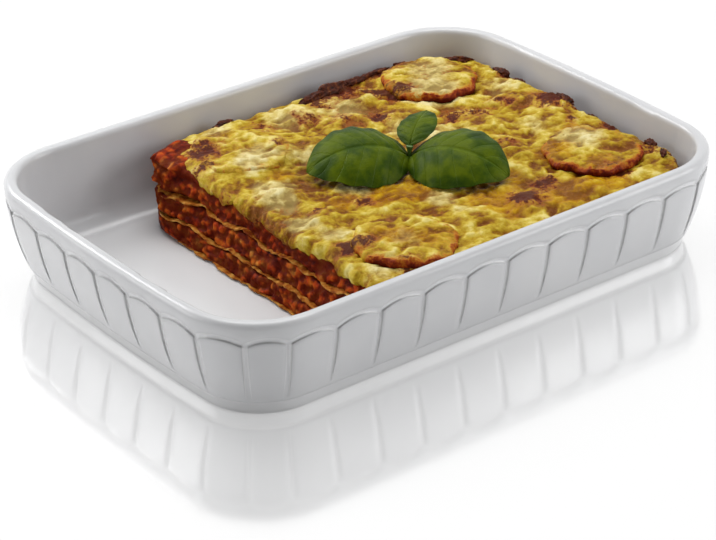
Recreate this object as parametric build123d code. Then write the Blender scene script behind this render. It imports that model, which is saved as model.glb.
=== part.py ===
from build123d import *
import math
import os

# The dish stands on z = 0 with its long side along X and its middle at x = y = 0.
# The served end is at -X. Lengths are in millimetres and angles in degrees.

# Dish, seen from above
length = 350.0
width = 250.0
corner_radius = 48.0
section_depth_share = 0.85  # the wall's swept section reaches in by this share of a corner's radius
end_bow = 2.0  # how far each short side bulges between its corners

# Dish, seen in section
height = 58.0
rim_width = 7.0
rim_outer_round = 3.0
rim_inner_round = 2.4
wall_bend_radius = 135.0  # the outer face curves in from the rim to the foot
inner_wall_lean = 9.0  # how far the inner face runs in on its way down to the floor
floor_height = 6.5  # top of the floor above the table
floor_round = 14.0
foot_height = 8.0
foot_step = 1.6
foot_lean = 1.2
foot_width = 7.0
foot_recess = 1.2
foot_round = 0.6

# Arcade of arched panels in the outer wall
long_side_pitch = 28.0
short_side_pitch = 29.0
long_side_columns = 5  # between the middle of the side and its corner
short_side_columns = 3
groove_width = 3.0
groove_depth = 1.2
groove_fade_share = 0.85  # depth half way up, as a share of the depth at the arches
column_top = 45.5
column_foot = 10.0
arch_rise = 3.4

# Lasagna, one end of it already served
wall_gap = 0.5  # clear of the glaze, so that it lifts out
edge_gap = 9.0  # from the rim's inner edge to the side of the lasagna
cut_distance = 82.0  # from the middle of the dish to the foot of the cut face
cut_lean = 18.0  # how far the cut face leans back between the floor and the crust
cut_back_radius = 45.0
cut_front_radius = 9.0
sheet_thickness = 1.8
sheet_overhang = 1.5  # the sheets stick out of the cut face
wave_rise = 1.2
wave_length = 46.0
wave_points = 33
ragu_bottom_thickness = 8.0
ragu_middle_thickness = 10.5
ragu_top_thickness = 11.5

# Cheese crust
crust_thickness = 3.5
crust_round_share = 0.88  # its edges round over by this share of the cut's tighter corner

# Lumps in the crust, placed as shares of the dish's half length and half width
lump_width = 28.0
lump_rise = 3.0
lump_place_shares = [
    (-0.25, 0.1),
    (-0.23, -0.22),
    (-0.05, -0.31),
    (0.11, -0.66),
    (0.31, -0.67),
    (0.5, -0.69),
    (0.5, -0.18),
    (0.76, -0.08),
    (0.57, 0.1),
    (0.76, 0.2),
    (0.4, 0.36),
    (0.23, 0.48),
    (0.05, 0.4),
    (0.13, 0.69),
    (0.35, 0.67),
]

# Tomato slices under the cheese, placed as shares of the dish's half length and half width
slice_diameter = 56.0
slice_thickness = 5.0
slice_sink = 1.6
slice_round = 1.5
slice_place_shares = {
    "front": (-0.17, -0.61),
    "right": (0.69, -0.46),
    "back": (0.64, 0.60),
    "left": (-0.19, 0.53),
}

# Basil sprig on top
sprig_place_share = (0.19, -0.02)
leaf_thickness = 0.8
leaf_length = 60.0
leaf_width = 50.0
leaf_rise = 14.0
leaf_roll = 18.0  # each large leaf lies on its front edge, with its back edge raised
top_leaf_length = 34.0
top_leaf_width = 22.0
top_leaf_rise = 3.0
left_leaf_heading = 160.0
right_leaf_heading = -64.0
top_leaf_heading = 40.0
top_leaf_tilt = 20.0
leaf_edge_shares = [(0, 0), (0.07, 0.17), (0.22, 0.4), (0.43, 0.5), (0.66, 0.41), (0.87, 0.2), (1, 0)]
stem_diameter = 4.0
stem_height = 11.0
sprig_clearance = 0.3

# Cutting shapes reach this far past what they cut
overrun = 5.0

half_length = length / 2
half_width = width / 2

# The rim's outline has straight long sides, slightly bowed short sides and round corners
corner_y = half_width - corner_radius
bow_radius = (corner_y**2 + end_bow**2) / (2 * end_bow)
bow_centre_x = half_length - bow_radius
corner_x = bow_centre_x + math.sqrt((bow_radius - corner_radius) ** 2 - corner_y**2)
bow_angle = math.degrees(math.asin(corner_y / (bow_radius - corner_radius)))
corner_angle = 90 - bow_angle
corner_run = math.radians(corner_angle) * corner_radius
quarter_run = corner_x + corner_run + math.radians(bow_angle) * bow_radius

# The swept section stops short of the corners' centres, and a plain slab fills the middle
section_depth = corner_radius * section_depth_share


def rim_outline():
    """Closed outline of the rim, anticlockwise from the middle of the near long side."""
    near_middle = (0, -half_width)
    far_middle = (0, half_width)
    return Wire(
        [
            Line(near_middle, (corner_x, -half_width)).edge(),
            CenterArc((corner_x, -corner_y), corner_radius, -90, corner_angle).edge(),
            CenterArc((bow_centre_x, 0), bow_radius, -bow_angle, 2 * bow_angle).edge(),
            CenterArc((corner_x, corner_y), corner_radius, bow_angle, corner_angle).edge(),
            Line((corner_x, half_width), far_middle).edge(),
            Line(far_middle, (-corner_x, half_width)).edge(),
            CenterArc((-corner_x, corner_y), corner_radius, 90, corner_angle).edge(),
            CenterArc((-bow_centre_x, 0), bow_radius, 180 - bow_angle, 2 * bow_angle).edge(),
            CenterArc((-corner_x, -corner_y), corner_radius, 180 + bow_angle, corner_angle).edge(),
            Line((-corner_x, -half_width), near_middle).edge(),
        ]
    )


def swept_section(section):
    """Sweeps a section once round the rim; its x runs in from the rim and its y runs up."""
    plane = Plane(origin=(0, -half_width, 0), x_dir=(0, 1, 0), z_dir=(1, 0, 0))
    return sweep(plane * section, path=rim_outline())


def middle_slab(bottom, top):
    """The plain slab inside the swept section, from bottom to top."""
    outline = offset(make_face(rim_outline()), -section_depth)
    return Pos(0, 0, bottom) * extrude(outline, top - bottom)


def near(shape, x, y):
    """The corner of a flat shape that is nearest to a point."""
    return shape.vertices().sort_by_distance((x, y, 0))[0]


def outer_inset(level):
    """How far in the outer face has curved at a level above the table."""
    return wall_bend_radius - math.sqrt(wall_bend_radius**2 - (height - level) ** 2)


def inner_inset(level):
    """How far in the inner face is at a level, before its round at the floor."""
    return rim_width + inner_wall_lean * (height - level) / (height - floor_height)


def make_dish_section():
    """Section of rim, wall, foot and floor."""
    step_top = outer_inset(foot_height)
    foot_top = step_top + foot_step
    foot_outside = foot_top + foot_lean
    foot_inside = foot_outside + foot_width
    floor_corner = inner_inset(floor_height)
    middle_level = (height + foot_height) / 2
    outer_face = ThreePointArc(
        (step_top, foot_height),
        (outer_inset(middle_level), middle_level),
        (0, height),
    )
    rest = Polyline(
        (0, height),
        (rim_width, height),
        (floor_corner, floor_height),
        (section_depth, floor_height),
        (section_depth, foot_recess),
        (foot_inside, foot_recess),
        (foot_inside, 0),
        (foot_outside, 0),
        (foot_top, foot_height),
        (step_top, foot_height),
    )
    section = make_face([outer_face.edge()] + list(rest.edges()))
    section = fillet(near(section, 0, height), rim_outer_round)
    section = fillet(near(section, rim_width, height), rim_inner_round)
    section = fillet(near(section, floor_corner, floor_height), floor_round)
    section = fillet(near(section, foot_outside, 0), foot_round)
    return section


def wall_place(run, x_side, y_side):
    """Plane on the rim's outline that faces out, a run along it from the middle of a long side."""
    if run <= corner_x:
        heading = -90.0
        x, y = run, -half_width
    elif run <= corner_x + corner_run:
        heading = -90 + math.degrees((run - corner_x) / corner_radius)
        x = corner_x + corner_radius * math.cos(math.radians(heading))
        y = -corner_y + corner_radius * math.sin(math.radians(heading))
    else:
        heading = -math.degrees((quarter_run - run) / bow_radius)
        x = bow_centre_x + bow_radius * math.cos(math.radians(heading))
        y = bow_radius * math.sin(math.radians(heading))
    outward = Vector(x_side * math.cos(math.radians(heading)), y_side * math.sin(math.radians(heading)), 0)
    along = Vector(0, 0, 1).cross(outward)
    return Plane(origin=(x_side * x, y_side * y, 0), x_dir=along, z_dir=outward)


def make_groove_layer():
    """The skin of the outer wall that the arcade is pressed into, fading out above the foot."""
    crown = column_top + arch_rise + groove_width
    middle_level = (crown + column_foot) / 2
    inner_face = ThreePointArc(
        (outer_inset(column_foot), column_foot),
        (outer_inset(middle_level) + groove_depth * groove_fade_share, middle_level),
        (outer_inset(crown) + groove_depth, crown),
    )
    rest = Polyline(
        (outer_inset(crown) + groove_depth, crown),
        (-overrun, crown),
        (-overrun, column_foot),
        (outer_inset(column_foot), column_foot),
    )
    return swept_section(make_face([inner_face.edge()] + list(rest.edges())))


def make_column_bar(plane, reach):
    """Upright bar that stands where a column's groove is pressed in."""
    bar_height = column_top + groove_width / 2 - column_foot
    bar = Pos(0, column_foot + bar_height / 2, 0) * Box(groove_width, bar_height, 2 * reach)
    return plane * bar


def make_arch_bar(plane, span, reach):
    """Arched bar between the tops of two columns."""
    radius = (span**2 / 4 + arch_rise**2) / (2 * arch_rise)
    half_angle = math.degrees(math.asin(span / 2 / radius))
    centre = (0, column_top + arch_rise - radius)
    line = CenterArc(centre, radius, 90 - half_angle, 2 * half_angle)
    return plane * extrude(trace(line, groove_width), reach, both=True)


def make_arcade():
    """Every groove of the arcade: a column at each place and an arch between each two."""
    corner_middle = corner_x + math.radians(45) * corner_radius
    places = [long_side_pitch * number for number in range(long_side_columns + 1)]
    places.append(corner_middle)
    places += [quarter_run - short_side_pitch * number for number in range(short_side_columns, -1, -1)]
    reach = outer_inset(column_foot) + overrun
    layer = make_groove_layer()
    grooves = []
    for x_side in (-1, 1):
        for y_side in (-1, 1):
            for number, place in enumerate(places):
                made_on_other_side = number == 0 and x_side < 0
                made_on_other_end = number == len(places) - 1 and y_side < 0
                if not made_on_other_side and not made_on_other_end:
                    grooves.append(layer & make_column_bar(wall_place(place, x_side, y_side), reach))
            for start, end in zip(places, places[1:]):
                plane = wall_place((start + end) / 2, x_side, y_side)
                grooves.append(layer & make_arch_bar(plane, end - start, reach))
    return grooves


def make_dish():
    """The dish, with the arcade pressed into its outer wall."""
    body = swept_section(make_dish_section()) + middle_slab(foot_recess, floor_height)
    return body - make_arcade()


# Levels of the layers, from the floor up
bottom_sheet_top = floor_height + sheet_thickness
lower_sheet_level = bottom_sheet_top + ragu_bottom_thickness
upper_sheet_level = lower_sheet_level + sheet_thickness + ragu_middle_thickness
crust_under_level = upper_sheet_level + sheet_thickness + ragu_top_thickness
crust_middle_level = crust_under_level + crust_thickness / 2
crust_top_level = crust_under_level + crust_thickness

crust_round = cut_front_radius * crust_round_share

# The lasagna's sides, seen from above
food_left = -cut_distance - sheet_overhang
food_right = half_length - rim_width - edge_gap
food_side = half_width - rim_width - edge_gap
food_corner_radius = corner_radius - rim_width - edge_gap
food_middle_x = (food_left + food_right) / 2
food_half_length = (food_right - food_left) / 2


def make_food_block(top):
    """Upright block with the lasagna's outline, from the table up to a level."""
    plan = Pos(food_middle_x, 0) * Rectangle(2 * food_half_length, 2 * food_side)
    plan = fillet(near(plan, food_left, food_side), cut_back_radius)
    plan = fillet(near(plan, food_left, -food_side), cut_front_radius)
    plan = fillet(near(plan, food_right, food_side), food_corner_radius)
    plan = fillet(near(plan, food_right, -food_side), food_corner_radius)
    return extrude(plan, top)


def make_rounded_block(top):
    """The same block with its upper edges rounded over."""
    block = make_food_block(top)
    return fillet(block.edges().group_by(Axis.Z)[-1], crust_round)


def make_food_space():
    """All that the lasagna may fill: inside the glaze and up past the crust."""
    top = height + overrun
    floor_corner = inner_inset(floor_height) + wall_gap
    section = make_face(
        Polyline(
            (inner_inset(top) + wall_gap, top),
            (floor_corner, floor_height),
            (section_depth, floor_height),
            (section_depth, top),
            (inner_inset(top) + wall_gap, top),
        )
    )
    section = fillet(near(section, floor_corner, floor_height), floor_round)
    space = swept_section(section) + middle_slab(floor_height, top)
    return space & make_food_block(top)


def make_served_part(overhang):
    """What the spoon took away, so that the cut face leans back; overhang moves the face out."""
    foot_x = -cut_distance - overhang
    rise = crust_top_level - floor_height
    over = height + overrun - floor_height
    outline = make_face(
        Polyline(
            (foot_x, floor_height),
            (foot_x + cut_lean * over / rise, floor_height + over),
            (-half_length, floor_height + over),
            (-half_length, floor_height),
            (foot_x, floor_height),
        )
    )
    plane = Plane(origin=(0, half_width, 0), x_dir=(1, 0, 0), z_dir=(0, -1, 0))
    return plane * extrude(outline, width)


def make_waved_band(bottom, top, bottom_rise, top_rise):
    """A layer right across the dish whose faces roll gently from the near side to the far side."""

    def line(level, rise):
        points = []
        for number in range(wave_points):
            y = half_width * (2 * number / (wave_points - 1) - 1)
            points.append((y, level + rise * math.sin(math.tau * y / wave_length)))
        return Spline(points)

    low = line(bottom, bottom_rise)
    high = line(top, top_rise)
    near_end = Line(low @ 0, high @ 0)
    far_end = Line(low @ 1, high @ 1)
    face = make_face([low.edge(), high.edge(), near_end.edge(), far_end.edge()])
    plane = Plane(origin=(-half_length, 0, 0), x_dir=(0, 1, 0), z_dir=(1, 0, 0))
    return plane * extrude(face, length)


def make_slice_cylinders(thickness):
    """An upright cylinder at each slice's place, from the underside of the slice up."""
    discs = {}
    for name, (x_share, y_share) in slice_place_shares.items():
        x = x_share * half_length
        y = y_share * half_width
        middle_level = crust_top_level - slice_sink + thickness / 2
        discs["tomato_slice_" + name] = Pos(x, y, middle_level) * Cylinder(slice_diameter / 2, thickness)
    return discs


def make_lumps():
    """Shallow round lumps that rise out of the crust, inside its rounded edges."""
    ball_radius = (lump_width**2 / 4 + lump_rise**2) / (2 * lump_rise)
    middle_level = crust_top_level + lump_rise - ball_radius
    space = make_rounded_block(crust_top_level + lump_rise) - make_food_block(crust_middle_level)
    lumps = []
    for x_share, y_share in lump_place_shares:
        place = Pos(x_share * half_length, y_share * half_width, middle_level)
        lumps.append(space & place * Sphere(ball_radius))
    return lumps


def make_lasagna():
    """The layers, from the bottom sheet up to the crust, and the slices sunk in the crust."""
    space = make_food_space()
    sauce_space = space - make_served_part(0)
    sheet_space = space - make_served_part(sheet_overhang)
    below_crust = make_rounded_block(crust_under_level)
    crust_slab = make_rounded_block(crust_top_level) + make_lumps() - below_crust
    lower_sheet_top = lower_sheet_level + sheet_thickness
    upper_sheet_top = upper_sheet_level + sheet_thickness
    lower_sheet = make_waved_band(lower_sheet_level, lower_sheet_top, wave_rise, wave_rise)
    upper_sheet = make_waved_band(upper_sheet_level, upper_sheet_top, wave_rise, wave_rise)
    bottom_sauce = make_waved_band(bottom_sheet_top, lower_sheet_level, 0, wave_rise)
    middle_sauce = make_waved_band(lower_sheet_top, upper_sheet_level, wave_rise, wave_rise)
    top_sauce = make_waved_band(upper_sheet_top, height, wave_rise, 0)
    pockets = list(make_slice_cylinders(height).values())
    layers = {
        "pasta_sheet_bottom": sheet_space & make_waved_band(floor_height, bottom_sheet_top, 0, 0),
        "ragu_bottom": sauce_space & bottom_sauce,
        "pasta_sheet_lower": sheet_space & lower_sheet,
        "ragu_middle": sauce_space & middle_sauce,
        "pasta_sheet_upper": sheet_space & upper_sheet,
        "ragu_top": (sauce_space & top_sauce & below_crust) - pockets,
        "cheese_crust": (sheet_space & crust_slab) - pockets,
    }
    for name, disc in make_slice_cylinders(slice_thickness).items():
        layers[name] = fillet(disc.edges().filter_by(GeomType.CIRCLE), slice_round)
    return layers


def make_leaf(long, wide, rise, roll, tilt, heading):
    """A cupped leaf that starts at the origin, with its middle raised."""
    upper = [(along * long, across * wide) for along, across in leaf_edge_shares]
    lower = [(x, -y) for x, y in upper]
    outline = make_face([Spline(upper).edge(), Spline(lower).edge()])
    ball_radius = (long**2 / 4 + rise**2) / (2 * rise)
    shell = Sphere(ball_radius) - Sphere(ball_radius - leaf_thickness)
    shell = Pos(long / 2, 0, rise - ball_radius) * shell
    leaf = shell & Pos(0, 0, -rise) * extrude(outline, 3 * rise)
    return Rot(0, 0, heading) * Rot(0, -tilt, 0) * Rot(roll, 0, 0) * leaf


def settle(piece):
    """Lowers a piece until its lowest point is its clearance over the crust."""
    lowest = piece.bounding_box().min.Z
    return Pos(0, 0, crust_top_level + sprig_clearance - lowest) * piece


def make_sprig():
    """Three leaves and the short stalk that holds them, laid on the crust."""
    x = sprig_place_share[0] * half_length
    y = sprig_place_share[1] * half_width
    large = (leaf_length, leaf_width, leaf_rise)
    left = settle(Pos(x, y) * make_leaf(*large, -leaf_roll, 0, left_leaf_heading))
    right = settle(Pos(x, y) * make_leaf(*large, leaf_roll, 0, right_leaf_heading))
    stem = settle(Pos(x, y) * Cylinder(stem_diameter / 2, stem_height))
    stem_top = stem.bounding_box().max.Z
    small = (top_leaf_length, top_leaf_width, top_leaf_rise)
    top = make_leaf(*small, 0, top_leaf_tilt, top_leaf_heading)
    top = Pos(x, y, stem_top - stem_diameter / 4) * top
    return {
        "basil_stem": stem,
        "basil_leaf_left": left - stem,
        "basil_leaf_right": right - stem,
        "basil_leaf_top": top - stem,
    }


pieces = {"baking_dish": make_dish()}
pieces.update(make_lasagna())
pieces.update(make_sprig())

os.makedirs("parts", exist_ok=True)
for name, piece in pieces.items():
    export_step(piece, "parts/" + name + ".step")
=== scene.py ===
# %% [markdown]
# # A baked lasagna in its oven dish
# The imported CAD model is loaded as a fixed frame, in metres. The dish stands on z = 0 with its long
# side along X, and the served end is at -X. The CAD gives every size and place, and this script
# gives each piece its real surface: glaze, melted cheese, minced meat, pasta and basil leaves.

# %% Frame
import math
import bpy
import numpy as np
from mathutils import Euler, Matrix, Vector, noise


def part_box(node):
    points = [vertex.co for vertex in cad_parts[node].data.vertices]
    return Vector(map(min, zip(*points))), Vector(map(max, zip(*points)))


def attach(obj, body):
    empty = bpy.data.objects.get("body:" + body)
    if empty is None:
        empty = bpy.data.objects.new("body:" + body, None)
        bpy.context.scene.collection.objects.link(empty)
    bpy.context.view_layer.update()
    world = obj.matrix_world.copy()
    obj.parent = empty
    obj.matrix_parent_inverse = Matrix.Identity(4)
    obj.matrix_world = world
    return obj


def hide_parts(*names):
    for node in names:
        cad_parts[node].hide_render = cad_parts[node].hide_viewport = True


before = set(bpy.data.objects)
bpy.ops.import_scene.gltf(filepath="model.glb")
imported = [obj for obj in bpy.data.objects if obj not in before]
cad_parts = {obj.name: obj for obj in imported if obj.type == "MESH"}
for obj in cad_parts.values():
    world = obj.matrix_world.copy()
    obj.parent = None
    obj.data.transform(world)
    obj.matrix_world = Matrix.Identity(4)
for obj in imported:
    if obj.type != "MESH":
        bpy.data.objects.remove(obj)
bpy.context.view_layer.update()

mm = 0.001

# %% [markdown]
# ## Camera
# A camera is a place, a direction and a lens. The dish is seen from above one corner through a long
# lens, so its far side looks hardly smaller than its near side. A camera set by eye would be a
# little off everywhere, so these numbers were fitted to the lines of the rim and the foot.

# %% Camera
lens_length = 129.85
camera_azimuth = -37.68
camera_elevation = 28.29
camera_roll = -0.74
camera_place = Vector((-783.25, -1011.23, 676.62)) * mm


def deselect():
    """Leaves nothing selected, so that an operator can't act on a piece that it shouldn't."""
    bpy.ops.object.select_all(action="DESELECT")


deselect()
bpy.ops.object.camera_add(location=camera_place)
camera = bpy.context.object
camera.name = "camera"
turn = Matrix.Rotation(math.radians(camera_azimuth), 3, "Z")
tip = Matrix.Rotation(math.radians(90 - camera_elevation), 3, "X")
roll = Matrix.Rotation(math.radians(camera_roll), 3, "Z")
camera.rotation_euler = (turn @ tip @ roll).to_euler()
camera.data.lens = lens_length
camera.data.sensor_width = 36
camera.data.sensor_fit = "HORIZONTAL"
bpy.context.scene.camera = camera
print("Camera:", [round(v, 3) for v in camera.location], "lens", lens_length)

# %% [markdown]
# ## Materials in general
# Every finish here is a small network of nodes round one Principled shader. Such a network can be
# drawn in the shader editor, but as text it is easier to read and to use again. Each helper adds
# one node, such as a noise, a colour ramp, a sum or a mix, and returns its output for the next one.

# %% Node helpers
def set_inputs(material, node, inputs):
    """Sets inputs of a node to values, or joins outputs of other nodes to them."""
    for name, value in inputs.items():
        if isinstance(value, bpy.types.NodeSocket):
            material.node_tree.links.new(value, node.inputs[name])
        else:
            node.inputs[name].default_value = value


def add_node(material, kind, inputs=(), **settings):
    """A new node with its settings and inputs."""
    node = material.node_tree.nodes.new("ShaderNode" + kind)
    for name, value in settings.items():
        setattr(node, name, value)
    set_inputs(material, node, dict(inputs))
    return node


def new_material(name):
    """A material, its Principled shader and its Object coordinates."""
    material = bpy.data.materials.new(name)
    material.use_nodes = True
    shader = material.node_tree.nodes["Principled BSDF"]
    return material, shader, add_node(material, "TexCoord").outputs["Object"]


def add_attribute(material, name):
    """A value that the piece carries at each point of its mesh."""
    return add_node(material, "Attribute", attribute_name=name).outputs["Fac"]


def add_noise(material, place, size, detail=4.0, roughness=0.55, distortion=0.0):
    """Cloudy noise whose lumps are about the given size across."""
    inputs = {"Vector": place, "Scale": 1 / size, "Detail": detail}
    inputs.update({"Roughness": roughness, "Distortion": distortion})
    return add_node(material, "TexNoise", inputs).outputs["Fac"]


def add_ramp(material, factor, stops):
    """A colour ramp through (place, colour) stops, where a single number stands for a grey."""
    node = add_node(material, "ValToRGB", {"Fac": factor})
    ramp = node.color_ramp
    while len(ramp.elements) < len(stops):
        ramp.elements.new(0.5)
    for element, (place, colour) in zip(ramp.elements, stops):
        element.position = place
        element.color = (*colour, 1) if isinstance(colour, tuple) else (colour, colour, colour, 1)
    return node.outputs["Color"]


def add_math(material, operation, first, second=0.0):
    """One sum on values or outputs."""
    return add_node(material, "Math", {0: first, 1: second}, operation=operation).outputs[0]


def add_sum(material, *terms):
    """Values and outputs added up; a term written (output, weight) is multiplied first."""
    total = None
    for term in terms:
        if isinstance(term, tuple):
            term = add_math(material, "MULTIPLY", *term)
        total = term if total is None else add_math(material, "ADD", total, term)
    return total


def add_swing(material, value, reach):
    """Noise, which lies round 0.5, turned into a swing to both sides of zero."""
    return add_math(material, "MULTIPLY", add_math(material, "SUBTRACT", value, 0.5), reach)


def add_mix(material, share, first, second, blend="MIX"):
    """A colour between two others, each an output or three numbers."""
    first, second = ((*c, 1) if isinstance(c, tuple) else c for c in (first, second))
    inputs = {0: share, 6: first, 7: second}
    return add_node(material, "Mix", inputs, data_type="RGBA", blend_type=blend).outputs[2]


def set_finish(material, shader, colour, roughness, specular):
    """The shader's colour, how rough it is and how strongly it mirrors."""
    inputs = {"Base Color": colour, "Roughness": roughness, "Specular IOR Level": specular}
    set_inputs(material, shader, inputs)


def add_bump(material, shader, height, distance, strength, over=None):
    """Small relief on the shader, laid over another normal if one is given."""
    inputs = {"Height": height, "Distance": distance, "Strength": strength}
    if over is not None:
        inputs["Normal"] = over
    bump = add_node(material, "Bump", inputs)
    set_inputs(material, shader, {"Normal": bump.outputs["Normal"]})


print("Node helpers are ready")

# %% [markdown]
# ## Table
# The dish stands on a bright glossy table that mirrors its wall. A plain white floor would throw
# much light back at the dish, so the white is written only for the camera and for reflections,
# through a Light Path node. A share of plain diffuse keeps the soft shadow under the foot.

# %% Table
table_size = 6.0
table_gap = 0.05 * mm
table_white = (1.0, 1.0, 1.0, 1.0)
mirror_share = 0.55
mirror_roughness = 0.12
shadow_share = 0.35

deselect()
bpy.ops.mesh.primitive_plane_add(size=table_size, location=(0, 0, -table_gap))
table = bpy.context.object
table.name = "table"
gloss = bpy.data.materials.new("table_gloss")
gloss.use_nodes = True
nodes = gloss.node_tree.nodes
nodes.remove(nodes["Principled BSDF"])
glow = add_node(gloss, "Emission", {"Color": table_white, "Strength": 1.0})
plain = add_node(gloss, "BsdfDiffuse", {"Color": table_white})
mirror = add_node(gloss, "BsdfGlossy", {"Color": table_white, "Roughness": mirror_roughness})
rays = add_node(gloss, "LightPath").outputs
seen = add_math(gloss, "MAXIMUM", rays["Is Camera Ray"], rays["Is Glossy Ray"])
glow_share = add_math(gloss, "MULTIPLY", seen, 1 - shadow_share)
lit = add_node(gloss, "MixShader", {0: glow_share, 1: plain.outputs[0], 2: glow.outputs[0]})
mirrored = add_math(gloss, "MULTIPLY", rays["Is Camera Ray"], mirror_share)
whole = add_node(gloss, "MixShader", {0: mirrored, 1: lit.outputs[0], 2: mirror.outputs[0]})
set_inputs(gloss, nodes["Material Output"], {"Surface": whole.outputs[0]})
table.data.materials.append(gloss)
print("Table:", table_size, "m wide")

# %% [markdown]
# ## Light
# Softboxes are wide lamps that make soft shadows and broad highlights. One hangs over the dish, the
# key stands behind it on the left, and two weaker ones light the near walls. A sun would give hard
# shadows, and a bright sky alone would give none. The white surround is written for the camera and
# for reflections, and only a weak share of it fills the shadows.

# %% Light
def add_softbox(name, place, size, power):
    """A square soft lamp at a place, turned to the middle of the dish."""
    deselect()
    bpy.ops.object.light_add(type="AREA", location=place)
    lamp = bpy.context.object
    lamp.name = name
    lamp.data.shape = "RECTANGLE"
    lamp.data.size = lamp.data.size_y = size
    lamp.data.energy = power
    lamp.rotation_euler = (dish_middle - place).to_track_quat("-Z", "Y").to_euler()


ambient = 0.2
dish_middle = Vector((0, 0, 0.03))
view_turn = math.radians(camera_azimuth)
right = Vector((math.cos(view_turn), math.sin(view_turn), 0))
back = Vector((-right.y, right.x, 0))
up = Vector((0, 0, 1))
add_softbox("softbox_top", back * 0.45 + up * 1.3, 0.9, 10)
add_softbox("softbox_key", -right * 0.7 + back * 0.6 + up * 0.75, 0.5, 6)
add_softbox("softbox_right", right * 1.1 - back * 0.1 + up * 0.45, 0.6, 5.6)
add_softbox("softbox_left", -right * 1.1 - back * 0.1 + up * 0.4, 0.6, 3.4)

world = bpy.context.scene.world or bpy.data.worlds.new("world")
bpy.context.scene.world = world
world.use_nodes = True
world.node_tree.nodes.clear()
rays = add_node(world, "LightPath").outputs
seen = add_math(world, "MAXIMUM", rays["Is Camera Ray"], rays["Is Glossy Ray"])
strength = add_node(world, "MapRange", {"Value": seen, "To Min": ambient, "To Max": 1.0})
sky = add_node(world, "Background", {"Color": (1, 1, 1, 1), "Strength": strength.outputs[0]})
add_node(world, "OutputWorld", {"Surface": sky.outputs[0]})
bpy.context.scene.view_settings.view_transform = "Standard"

# %% [markdown]
# ## The dish
# The dish is cast in one piece and glazed all over. Its shape comes from the CAD as it is, so only
# the glaze is made here: a white glass with a bright gloss and a faint unevenness. Its grooves and
# its foot are painted whiter, a painted light that lifts their shade; an Ambient Occlusion node
# finds the grooves. Wet glaze runs off edges, so a Bevel node rounds the edges in the shading,
# without one more face on the dish.

# %% Dish
glaze_thin = (0.615, 0.62, 0.635)
glaze_thick = (0.665, 0.667, 0.677)
# Painted light on the foot, lighter than the glaze of the wall
foot_painted_light = (0.75, 0.752, 0.76)
# Painted light in the grooves, which lifts their shade
groove_painted_light = (0.97, 0.971, 0.975)
foot_top = 7.0 * mm
wall_start = 8.6 * mm
hollow_reach = 3 * mm
edge_radius = 3.8 * mm


def make_glaze():
    """White glaze, slightly uneven, with painted light on the foot and in the grooves."""
    material, shader, place = new_material("white_glaze")
    uneven = add_noise(material, place, 45 * mm, detail=2)
    tone = add_ramp(material, uneven, [(0.3, glaze_thin), (0.7, glaze_thick)])
    # The foot is painted lighter than the wall, a painted light that lifts the foot's shade
    level = add_node(material, "SeparateXYZ", {"Vector": place}).outputs["Z"]
    inputs = {"Value": level, "From Min": foot_top, "From Max": wall_start}
    above_foot = add_node(material, "MapRange", inputs).outputs[0]
    tone = add_mix(material, above_foot, foot_painted_light, tone)
    # The grooves are painted whiter where Ambient Occlusion finds them: a painted light that lifts
    # their shade
    inputs = {"Distance": hollow_reach}
    openness = add_node(material, "AmbientOcclusion", inputs, samples=8, only_local=True)
    hollow = add_ramp(material, openness.outputs["AO"], [(0.5, 1), (0.9, 0)])
    tone = add_mix(material, hollow, tone, groove_painted_light)
    waves = add_noise(material, place, 9 * mm, detail=2)
    roughness = add_ramp(material, waves, [(0.3, 0.16), (0.7, 0.24)])
    set_inputs(material, shader, {"Base Color": tone, "Roughness": roughness, "IOR": 1.5})
    rounded = add_node(material, "Bevel", {"Radius": edge_radius}, samples=8).outputs[0]
    add_bump(material, shader, waves, 0.05 * mm, 0.5, over=rounded)
    return material


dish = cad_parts["baking_dish"]
dish.data.materials.clear()
dish.data.materials.append(make_glaze())
print("Dish:", len(dish.data.polygons), "faces")

# %% [markdown]
# ## The outline of the lasagna
# All layers share one outline, seen from above: straight sides, rounded corners, and the cut face
# that leans back as it rises. It could be drawn as a curve, but browning, round rims and torn edges
# all need to know how far away the edge is. So one function says how far inside a place is.

# %% Outline
food_right, food_side, crust_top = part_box("cheese_crust")[1]
plan_left, _, floor_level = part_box("pasta_sheet_bottom")[0]
cut_inset = 1.5 * mm
cut_foot = plan_left + cut_inset
cut_lean = 18 * mm
cut_rise = crust_top - floor_level
back_corner = 45 * mm
front_corner = 9 * mm
right_corner = 32 * mm
slump_place = 92 * mm
slump_width = 28 * mm
# A left edge far outside, for sums in which the cut doesn't count
no_cut = plan_left - 50 * mm


def cut_x(level):
    """Where the cut face is at a level."""
    return cut_foot + cut_lean * (level - floor_level) / cut_rise


def depth_inside(x, y, left):
    """How far inside the lasagna's outline a place is; left is the cut edge at its level."""
    depth = min(x - left, food_right - x, food_side - y, food_side + y)
    corners = (
        (plan_left, food_side, back_corner),
        (plan_left, -food_side, front_corner),
        (food_right, food_side, right_corner),
        (food_right, -food_side, right_corner),
    )
    for corner_x, corner_y, radius in corners:
        centre_x = corner_x - math.copysign(radius, corner_x)
        centre_y = corner_y - math.copysign(radius, corner_y)
        if (x - centre_x) * corner_x > 0 and (y - centre_y) * corner_y > 0:
            depth = min(depth, radius - math.hypot(x - centre_x, y - centre_y))
    return depth


def bell(distance, width):
    """1 in the middle, and less and less to both sides."""
    return math.exp(-((distance / width) ** 2))


def slump(y, level):
    """How far the far end of the cut has slumped out, most of it high up."""
    height_share = (level - floor_level) / cut_rise
    return (2 + 9 * height_share) * mm * bell(y - slump_place, slump_width)


sizes = [round(v / mm, 1) for v in (food_right, food_side, crust_top)]
print("Lasagna in mm: right edge, sides and top at", sizes)

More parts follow.
